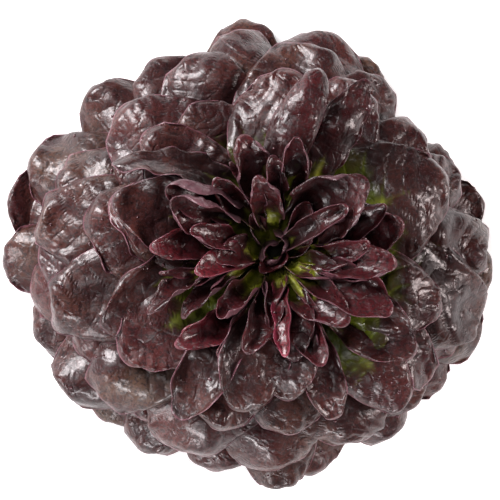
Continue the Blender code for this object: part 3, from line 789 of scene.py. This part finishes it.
def closed_sheet(name, points, thickness, values, material):
    """A closed leaf mesh from a grid of mid-surface points, with one value of each name a point."""
    normal = grid_normals(points)
    rows, columns = points.shape[:2]
    half = 0.5 * thickness[..., None]
    top = (points + normal * half).reshape(-1, 3)
    bottom = (points - normal * half).reshape(-1, 3)
    count = rows * columns
    index = np.arange(count).reshape(rows, columns)
    a, b = index[:-1, :-1].ravel(), index[1:, :-1].ravel()
    c, d = index[1:, 1:].ravel(), index[:-1, 1:].ravel()
    upper = np.stack([a, b, c, d], axis=1)
    lower = np.stack([d, c, b, a], axis=1) + count
    ring = np.concatenate([index[:-1, 0], index[-1, :-1], index[:0:-1, -1], index[0, :0:-1]])
    following = np.roll(ring, -1)
    rim = np.stack([ring, ring + count, following + count, following], axis=1)
    faces = np.concatenate([upper, lower, rim])
    places = np.concatenate([top, bottom])
    places[:, 2] = np.maximum(places[:, 2], LOWEST)
    obj = mesh_object(name, places, faces, material)
    for key, value in values.items():
        flat = np.broadcast_to(value, (rows, columns)).reshape(-1)
        add_attribute(obj.data, key, np.concatenate([flat, flat]))
    add_attribute(obj.data, "under", np.concatenate([np.zeros(count), np.ones(count)]))
    return obj


def drop_points(middle, across, ahead, normal, size, stretch):
    """A bead's points, ring by ring from the top, and its top point last."""
    places = []
    for ring in range(DROP_RINGS):
        fall = 0.5 * math.pi * (ring + 1) / DROP_RINGS
        for side in range(DROP_SIDES):
            turn = FULL_TURN * side / DROP_SIDES
            flat = size * math.sin(fall)
            height = DROP_HEIGHT_SHARE * size * math.cos(fall) + DROP_RAISED
            places.append(middle + across * flat * stretch * math.cos(turn)
                          + ahead * flat * math.sin(turn) + normal * height)
    places.append(middle + normal * (DROP_HEIGHT_SHARE * size + DROP_RAISED))
    return places


def drop_faces(first):
    """The faces of a bead whose points start at this number."""
    faces = []
    top = first + DROP_RINGS * DROP_SIDES
    for side in range(DROP_SIDES):
        after = (side + 1) % DROP_SIDES
        faces.append((top, first + side, first + after))
        for ring in range(DROP_RINGS - 1):
            a = first + ring * DROP_SIDES
            b = a + DROP_SIDES
            faces.append((a + side, b + side, b + after, a + after))
    last = first + (DROP_RINGS - 1) * DROP_SIDES
    faces.append(tuple(last + side for side in reversed(range(DROP_SIDES))))
    return faces


def add_drops(obj, points, count, material, rng):
    """Beads of water on the blade, sunk into it, as part of the leaf's mesh."""
    normal = grid_normals(points)
    rows, columns = points.shape[:2]
    places, faces = [], []
    for _ in range(count):
        i = rng.randint(int(DROP_ROWS_FROM * rows), rows - DROP_LAST_KEPT_OFF)
        j = rng.randint(DROP_FIRST_COLUMN, columns - DROP_LAST_KEPT_OFF)
        size = rng.uniform(*DROP_RADII) * MM
        across = points[i, j + 1] - points[i, j]
        across = across / np.linalg.norm(across)
        ahead = np.cross(normal[i, j], across)
        stretch = rng.uniform(*DROP_STRETCH)
        faces.extend(drop_faces(len(places)))
        places.extend(drop_points(points[i, j], across, ahead, normal[i, j], size, stretch))
    drops = mesh_object("drops", places, faces, material)
    obj.data.materials.append(material)
    with bpy.context.temp_override(active_object=obj, selected_editable_objects=[obj, drops]):
        bpy.ops.object.join()


def blade_grid(faces, stalk_share):
    """Shares along and across a leaf: few rows in its stalk, close columns at its margins."""
    rows, columns = faces
    stalk_rows = rows // STALK_ROWS_ONE_IN
    along = np.concatenate([np.linspace(0.0, stalk_share, stalk_rows + 1)[:-1],
                            np.linspace(stalk_share, 1.0, rows - stalk_rows + 1)])
    turn = np.linspace(-1.0, 1.0, columns + 1)
    across = np.sign(turn) * (1.0 - (1.0 - np.abs(turn)) ** MARGIN_CROWDING)
    return np.meshgrid(along, across, indexing="ij")


def rib_at(u, t, width):
    return np.exp(-((t / width) ** 2)) * (1.0 - u) ** RIB_FADE_POWER


def thickness_at(edge, rib, thickness):
    blade, added_by_rib, thin = thickness
    return np.where(edge < THIN_EDGE, thin, blade + added_by_rib * rib)


def large_leaf_relief(leaf, u, v, s, t, edge, rng):
    """(height over the laid surface, closeness to a vein) of a large leaf."""
    puffed, vein = quilting(s, t, rng, STRIP_MM, CELL_MM)
    blade = rising(u, RELIEF_RISE)
    inside = smoothstep(edge / FLAT_MARGIN)
    quilted = rng.uniform(*QUILT_MM) * MM
    quilted = quilted * patchy(s, t, rng, QUILT_PATCH)
    lift = blade * inside * (quilted * (puffed - QUILT_MEAN) + wandering(s, t, rng, SWELL))
    crimp = crimping(s, t, CRIMP_CENTRE * leaf.length, leaf.half_width, edge, rng)
    lift = lift + CRIMP_HEIGHT * crimp * blade
    lift = smoothed(lift + puckering(s, t, rng, PUCKERS) * blade * inside)
    corner = rising(u, CORNER_RISE) * v**CORNER_POWER
    rolled = (1.0 - smoothstep(edge / ROLL_WIDTH)) ** ROLL_POWER * (1.0 - CORNER_LESS * corner)
    lift = lift - ROLL_DEPTH * rolled * blade
    groove = np.exp(-((t / GROOVE_WIDTH) ** 2)) * (1.0 - u) * GROOVE_MM * MM
    return lift - groove, vein * blade


def large_leaf_object(leaf, lines, material, water, rng):
    lowest_tier = leaf.name.startswith("ground")
    u, v = blade_grid(LOWEST_TIER_FACES if lowest_tier else LARGE_FACES, LARGE_STALK_SHARE)
    points = leaf.points(lines, u, v)
    width = leaf.half_width_at(u)
    s = leaf.distance_along(u, v)
    t = v * width
    edge = np.minimum((1.0 - np.abs(v)) * width, (1.0 - u) * leaf.length)
    height, vein = large_leaf_relief(leaf, u, v, s, t, edge, rng)
    points = points + grid_normals(points) * height[..., None]
    rib = rib_at(u, t, RIB_WIDTH)
    thickness = thickness_at(edge, rib, THICKNESS)
    values = {"along": u, "edge": edge / MM, "vein": vein, "rib": rib,
              "tone": rng.uniform(0.0, MOST_TONE), "foot": GREENEST.get(leaf.name, PLAIN_FOOT),
              "aged": rng.random() ** 2}
    obj = closed_sheet("blade_" + leaf.name, points, thickness, values, material)
    add_drops(obj, points, rng.randint(*LARGE_LEAF_DROPS), water, rng)
    return obj


def summed_along(slope):
    """The integral of a slope along the midrib, as shares of its length, from 0 at the root."""
    steps = 0.5 * (slope[1:] + slope[:-1])
    return np.concatenate([[0.0], np.cumsum(steps) / (MIDRIB_POINTS - 1)])


def midrib_of(reach, tip_height, tip_angle, root_radius, root_height):
    """Share, radius, height and angle along a midrib that ends at a reach and a height, and its
    length."""
    share = np.linspace(0.0, 1.0, MIDRIB_POINTS)
    wanted = (tip_height - root_height) / max(reach - root_radius, LEAST_RUN)
    end = math.radians(tip_angle)
    low, high = (math.radians(angle) for angle in START_ANGLES_DEG)
    for _ in range(HALVINGS):
        start = 0.5 * (low + high)
        angle = start + (end - start) * share**MIDRIB_BEND_POWER
        rise, run = np.sin(angle).mean(), np.cos(angle).mean()
        if rise > wanted * run:
            high = start
        else:
            low = start
    length = (tip_height - root_height) / rise
    radius = root_radius + length * summed_along(np.cos(angle))
    height = root_height + length * summed_along(np.sin(angle))
    return share, radius, height, angle, length


def trough_section(number, fold, width, u, v):
    """(sideways, inwards) of a leaf's cross-section, bent to part of a circle."""
    bend = math.radians(fold) * (INNER_FOLDS_MORE if number > SATIN_HEART_LEAVES else 1.0)
    bend = bend * (ROOT_FOLD + FOLD_ADDED * smoothstep(u / FOLD_ADDED_BY))
    bend = bend * (1.0 - TIP_OPENS * u**TIP_OPENS_POWER)
    bend = np.copysign(np.maximum(np.abs(bend), LEAST_FOLD), fold)
    arc = width / bend
    return arc * np.sin(v * bend), arc * (1.0 - np.cos(v * bend))


def heart_leaf_relief(s, t, rng):
    """(height over the leaf's own surface, closeness to a vein) of a heart leaf."""
    puffed, vein = quilting(s, t, rng, HEART_STRIP_MM, HEART_CELL_MM)
    height = (HEART_QUILT * (puffed - HEART_QUILT_MEAN) + wandering(s, t, rng, HEART_SWELL)
              + puckering(s, t, rng, HEART_PUCKERS))
    return height, vein


def heart_leaf_object(number, row, material, water, rng):
    azimuth, reach, tip_z, tip_angle, half_width, fold, turned, sweep, red, green = row
    order = (number - 1) / (len(HEART_LEAVES) - 1)
    root_z = (HEART_LOWEST_ROOT_MM + HEART_ROOT_RISE_MM * order) * MM
    root_r = float(stem_radius(root_z)) - HEART_ROOT_SUNK
    share, radius, height, angle, length = midrib_of(
        reach * MM, tip_z * MM, tip_angle, root_r, root_z)
    u, v = blade_grid(HEART_FACES, HEART_STALK_SHARE)
    half_width *= HEART_FULL_WIDTH * MM
    width = outline_half_width(u, HEART_STALK_HALF_WIDTH, half_width, HEART_OUTLINE)
    setback = HEART_TIP_SETBACK * width * u**HEART_SETBACK_POWER * v**2
    along = np.clip(u - setback / length, 0.0, 1.0)
    tilt = np.interp(along, share, angle)
    sideways, inwards = trough_section(number, fold, width, u, v)
    s = along * length
    t = v * width
    phases = rng.uniform(0, PHASES_UP_TO), rng.uniform(0, PHASES_UP_TO)
    frill = np.sin(FULL_TURN * s / (rng.uniform(*FRILL_LENGTH_MM) * MM)
                   + np.where(v < 0, phases[0], phases[1]))
    blade = rising(u, HEART_BLADE_RISE)
    size = np.clip(half_width / HEART_USUAL_HALF_WIDTH, *HEART_RELIEF_RANGE)
    inwards = inwards + FRILL_HEIGHT * size * frill * np.abs(v) ** FRILL_POWER * blade
    edge = np.minimum((1.0 - np.abs(v)) * width, (1.0 - u) * length)
    lip = (1.0 - smoothstep(edge / LIP_WIDTH)) ** LIP_POWER
    inwards = inwards + rng.choice(LIP_MM) * MM * size * lip * blade
    turn = math.radians(turned) * rising(u, TURN_RISE)
    side = sideways * np.cos(turn) - inwards * np.sin(turn)
    depth = sideways * np.sin(turn) + inwards * np.cos(turn)
    radial = np.interp(along, share, radius) - depth * np.sin(tilt)
    z = np.interp(along, share, height) + depth * np.cos(tilt)
    heading = np.radians(azimuth + sweep * (u - 1.0))
    x = radial * np.cos(heading) - side * np.sin(heading)
    y = radial * np.sin(heading) + side * np.cos(heading)
    points = np.stack([x, y, z], axis=-1)
    relief, vein = heart_leaf_relief(s, t, rng)
    inside = smoothstep(edge / HEART_FLAT_MARGIN)
    points = points + grid_normals(points) * (blade * inside * size * relief)[..., None]
    rib = rib_at(u, t, HEART_RIB_WIDTH)
    thickness = thickness_at(edge, rib, HEART_THICKNESS)
    values = {"along": u, "edge": edge / MM, "vein": vein * blade, "rib": rib,
              "tone": red, "foot": green, "aged": 0.0}
    obj = closed_sheet(f"heart_leaf_{number:02d}", points, thickness, values, material)
    if number <= HEART_LEAVES_WITH_DROPS:
        add_drops(obj, points, rng.randint(*HEART_LEAF_DROPS), water, rng)
    return obj


def srgb(red, green, blue):
    """A colour given as 0 to 255 on a screen, as the shader's linear numbers."""
    parts = []
    for value in (red, green, blue):
        value /= 255.0
        parts.append(value / 12.92 if value <= 0.04045 else ((value + 0.055) / 1.055) ** 2.4)
    return (*parts, 1.0)


class Nodes:
    """Short calls that add nodes to one material's tree."""

    def __init__(self, name):
        self.material = bpy.data.materials.new(name)
        self.material.use_nodes = True
        self.tree = self.material.node_tree
        self.shader = self.tree.nodes["Principled BSDF"]
        self.place = self.tree.nodes.new("ShaderNodeTexCoord").outputs["Object"]

    def link(self, source, target):
        """Feeds a socket, or sets its value where the source is a number or a colour."""
        if isinstance(source, (int, float, tuple)):
            target.default_value = source
        else:
            self.tree.links.new(source, target)

    def give(self, sockets):
        """Feeds or sets the shader's own sockets."""
        for socket, source in sockets.items():
            self.link(source, self.shader.inputs[socket])

    def add(self, kind, inputs, output=0, **settings):
        """One of the outputs of a new node, with its settings made and its inputs fed."""
        node = self.tree.nodes.new("ShaderNode" + kind)
        for name, value in settings.items():
            setattr(node, name, value)
        for socket, source in inputs.items():
            self.link(source, node.inputs[socket])
        return node.outputs[output]

    def attribute(self, name):
        return self.add("Attribute", {}, "Fac", attribute_name=name)

    def plus(self, a, b):
        return self.add("Math", {0: a, 1: b}, operation="ADD")

    def minus(self, a, b):
        return self.add("Math", {0: a, 1: b}, operation="SUBTRACT")

    def times(self, a, b):
        return self.add("Math", {0: a, 1: b}, operation="MULTIPLY")

    def ramp(self, value, low, high, out_low=0.0, out_high=1.0):
        return self.add("MapRange", {"Value": value, "From Min": low, "From Max": high,
                                     "To Min": out_low, "To Max": out_high}, "Result",
                        interpolation_type="SMOOTHSTEP")

    def mix(self, factor, a, b):
        return self.add("Mix", {"Factor": factor, 6: a, 7: b}, 2, data_type="RGBA")

    def tinted(self, colour, share, tint):
        """A colour mixed with a tint, by a share of the surface times the tint's strength."""
        shade, strength = tint
        return self.mix(self.times(share, strength), colour, srgb(*shade))

    def noise(self, scale, detail=3.0, roughness=0.55):
        return self.add("TexNoise", {"Vector": self.place, "Scale": scale, "Detail": detail,
                                     "Roughness": roughness}, "Fac")

    def marks(self, noise, fade):
        """The part of a noise that a fade picks out."""
        return self.ramp(self.noise(*noise), *fade)

    def cells(self, scale, bent_by):
        """Distance to the nearest wall of a net of cells, bent by this many metres."""
        bend = self.add("TexNoise", {"Vector": self.place, "Scale": CELL_BEND_SCALE * scale},
                        "Color")
        shifted = self.add("VectorMath", {0: bend, 1: (bent_by,) * 3, 2: self.place},
                           operation="MULTIPLY_ADD")
        return self.add("TexVoronoi", {"Vector": shifted, "Scale": scale}, "Distance",
                        feature="DISTANCE_TO_EDGE")

    def bump(self, height, distance, strength, before=None):
        """The surface's normal, changed by a height, over the changes made before."""
        inputs = {"Strength": strength, "Distance": distance, "Height": height}
        if before is not None:
            inputs["Normal"] = before
        return self.add("Bump", inputs)


def leaf_colour(n, look, grain, crease):
    """The colour of a leaf's surface, from its ground colours up to its margin and creases, with
    painted shade towards its foot, in its veins and in its creases, and a rim partly painted as
    highlight.
    """
    edge = n.attribute("edge")
    vein = n.attribute("vein")
    rib = n.attribute("rib")
    tone = n.attribute("tone")
    colour = n.mix(n.marks(*PATCHES),
                   srgb(*look["dark"]), srgb(*look["light"]))
    colour = n.tinted(colour, tone, (look["wine"], WINE_WEIGHT))
    worn = n.times(n.marks(*AGED_MARKS), n.attribute("aged"))
    colour = n.tinted(colour, worn, AGED_TINT)
    # Painted shade: darker along the veins, the hollows between the puffed cells.
    colour = n.tinted(colour, vein, PAINTED_VEIN_SHADE)
    colour = n.tinted(colour, n.ramp(grain, *SPECKLE_FADE), SPECKLE_TINT)
    colour = n.tinted(colour, n.marks(*GLINTS), GLINT_TINT)
    waver = n.times(n.minus(n.noise(*WAVER_NOISE), 0.5), WAVER)
    along = n.plus(n.attribute("along"), waver)
    # Painted shade: the blade darkens towards its foot, where the leaves above would shade it.
    colour = n.mix(n.ramp(along, *PAINTED_FOOT_SHADE_FADE, 0.0, look["painted_shade"]), colour, srgb(*PAINTED_FOOT_SHADE))
    by_foot = n.times(n.minus(GREEN_FROM_FOOT, n.attribute("foot")), GREEN_OF_FOOT)
    reach = n.minus(n.plus(along, by_foot), n.times(rib, GREEN_UP_THE_RIB))
    reach = n.minus(reach, n.times(vein, GREEN_UP_A_VEIN))
    green_share = n.ramp(reach, look["green_until"], look["green_until"] - GREEN_FADE)
    colour = n.mix(green_share, colour, srgb(*look["green"]))
    colour = n.tinted(colour, n.times(rib, green_share), RIB_TINT)
    colour = n.tinted(colour, n.attribute("under"), UNDERSIDE_TINT)
    blush = n.times(n.ramp(edge, *BLUSH_FADE), n.times(tone, tone))
    colour = n.mix(blush, colour, srgb(*BLUSH))
    # The pale margin: partly its own colour and partly a painted rim highlight.
    colour = n.mix(n.ramp(edge, *MARGIN_FADE, 0.0, look["rim"]), colour, srgb(*PALE_MARGIN_AND_PAINTED_RIM_HIGHLIGHT))
    # Painted shade: darker along the creases of the net of cells.
    return n.tinted(colour, n.minus(1.0, crease), PAINTED_CREASE_SHADE)


def leaf_material(name, look):
    n = Nodes(name)
    grain = n.noise(*GRAIN_NOISE)
    crease = n.ramp(n.cells(*CREASE_CELLS), *CREASE_FADE)
    rough = n.marks(*ROUGH_MARKS)
    normal = n.bump(n.minus(1.0, n.attribute("vein")), *VEIN_BUMP)
    normal = n.bump(crease, look["pucker"], CREASE_STRENGTH, normal)
    normal = n.bump(n.ramp(n.cells(*NET_CELLS), *NET_FADE), *NET_BUMP, normal)
    n.give({"Base Color": leaf_colour(n, look, grain, crease),
            "Roughness": n.plus(rough, n.ramp(grain, *GRAIN_ROUGH_FADE)),
            "Normal": n.bump(n.noise(*FINEST_NOISE), *FINEST_BUMP, normal)})
    n.give(LEAF_GLOSS)
    return n.material


def flesh_material(name, flesh, scarred=False):
    """Plant flesh in two colours, slightly rough, with or without brown scars."""
    n = Nodes(name)
    low, high = (srgb(*colour) for colour in flesh["colours"])
    colour = n.mix(n.marks(*flesh["marks"]), low, high)
    if scarred:
        colour = n.tinted(colour, n.marks(*SCARS), SCAR_TINT)
    n.give({"Base Color": colour, "Roughness": flesh["roughness"],
            "Normal": n.bump(n.noise(*flesh["bump_noise"]), *FLESH_BUMP)})
    return n.material


def water_material():
    n = Nodes("water_bead")
    low, high = (srgb(*colour) for colour in WATER_COLOURS)
    n.give({"Base Color": n.mix(n.noise(WATER_NOISE_SCALE), low, high)})
    n.give(WATER_GLOSS)
    return n.material


def core_object(material):
    """The upper end of the stem, which the heart's leaves grow from."""
    rng = random.Random(CORE_SEED)
    phases = [rng.uniform(0, PHASES_UP_TO) for _ in range(3)]
    flutes, depth, slant = CORE_FLUTES
    fine_flutes, fine_depth = CORE_FINE_FLUTES
    points = []
    for i in range(CORE_RINGS):
        z = HEART_FROM - CORE_SUNK + (CORE_TOP - HEART_FROM) * i / (CORE_RINGS - 1)
        for j in range(CORE_SIDES):
            a = FULL_TURN * j / CORE_SIDES
            r = float(stem_radius(z)) * (
                1 + depth * math.sin(flutes * a + phases[0] + slant * z)
                + fine_depth * math.sin(fine_flutes * a + phases[1]))
            points.append((r * math.cos(a), r * math.sin(a), z))
    faces = []
    for i in range(CORE_RINGS - 1):
        low = i * CORE_SIDES
        high = low + CORE_SIDES
        for j in range(CORE_SIDES):
            k = (j + 1) % CORE_SIDES
            faces.append((low + j, low + k, high + k, high + j))
    faces.append(tuple(reversed(range(CORE_SIDES))))
    faces.append(tuple(range((CORE_RINGS - 1) * CORE_SIDES, CORE_RINGS * CORE_SIDES)))
    return mesh_object("heart_core", points, faces, material)


def floor_object():
    n = Nodes("floor_paint")
    n.give({"Base Color": n.mix(n.noise(*FLOOR_NOISE), *FLOOR_COLOURS)})
    n.give(FLOOR_PAINT)
    size = FLOOR_HALF_SIDE
    corners = [(-size, -size, 0), (size, -size, 0), (size, size, 0), (-size, size, 0)]
    obj = mesh_object("floor", corners, [(0, 1, 2, 3)], n.material)
    obj.location.z = -FLOOR_GAP


def area_light(name, place, size, power, colour):
    data = bpy.data.lights.new(name, "AREA")
    data.shape = "RECTANGLE"
    data.size, data.size_y = size
    data.energy = power
    data.color = colour
    obj = linked_object(name, data)
    obj.location = place
    obj.rotation_mode = "QUATERNION"
    towards = Vector(LIGHT_TARGET) - Vector(place)
    obj.rotation_quaternion = towards.to_track_quat("-Z", "Y")


def light_the_room():
    """Area lights, and a room whose walls glow more than its top."""
    world = bpy.data.worlds.new("studio")
    bpy.context.scene.world = world
    world.use_nodes = True
    tree = world.node_tree
    background = tree.nodes["Background"]
    background.inputs["Color"].default_value = (1.0, 1.0, 1.0, 1.0)
    parts = tree.nodes.new("ShaderNodeSeparateXYZ")
    tree.links.new(tree.nodes.new("ShaderNodeTexCoord").outputs["Generated"], parts.inputs[0])
    walls = tree.nodes.new("ShaderNodeMapRange")
    walls.interpolation_type = "SMOOTHSTEP"
    for socket, value in zip(("From Min", "From Max", "To Min", "To Max"), WALL_GLOW):
        walls.inputs[socket].default_value = value
    tree.links.new(parts.outputs["Z"], walls.inputs["Value"])
    tree.links.new(walls.outputs["Result"], background.inputs["Strength"])
    for name, light in LIGHTS.items():
        area_light(name, *light)


def camera_object():
    """The camera, nearly straight above the head."""
    tilt = math.radians(CAMERA_TILT_DEG)
    target = Vector((VIEW_MIDDLE_X / math.cos(tilt), 0.0, 0.0))
    towards = Vector((-math.sin(tilt), 0.0, math.cos(tilt)))
    camera = bpy.data.cameras.new("camera")
    camera.sensor_width = SENSOR_WIDTH_MM
    camera.lens = SENSOR_WIDTH_MM * (CAMERA_DISTANCE - PICTURE_HEIGHT_OVER_FLOOR) / PICTURE_WIDTH
    obj = linked_object("camera", camera)
    obj.location = target + towards * CAMERA_DISTANCE
    obj.rotation_euler = (0.0, -tilt, 0.0)
    bpy.context.scene.camera = obj


def dress(piece, node):
    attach(piece, "root")
    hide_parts(node)


def main():
    outer = leaf_material("outer_blade", OUTER_LOOK)
    inner = leaf_material("inner_blade", INNER_LOOK)
    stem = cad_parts["stem"]
    stem.data.materials.clear()
    stem.data.materials.append(flesh_material("stem_flesh", STEM_FLESH, scarred=True))
    water = water_material()
    lines = Meridians()
    rng = random.Random(SURFACE_SEED)
    for leaf in lay_large_leaves(lines):
        dress(large_leaf_object(leaf, lines, outer, water, rng), leaf.node)
    for number, row in enumerate(HEART_LEAVES, start=1):
        blade = outer if number <= SATIN_HEART_LEAVES else inner
        dress(heart_leaf_object(number, row, blade, water, rng), "heart")
    core = core_object(flesh_material("core_flesh", CORE_FLESH))
    dress(core, "heart")
    floor_object()
    bpy.context.scene.view_settings.view_transform = "Standard"
    light_the_room()
    camera_object()


main()
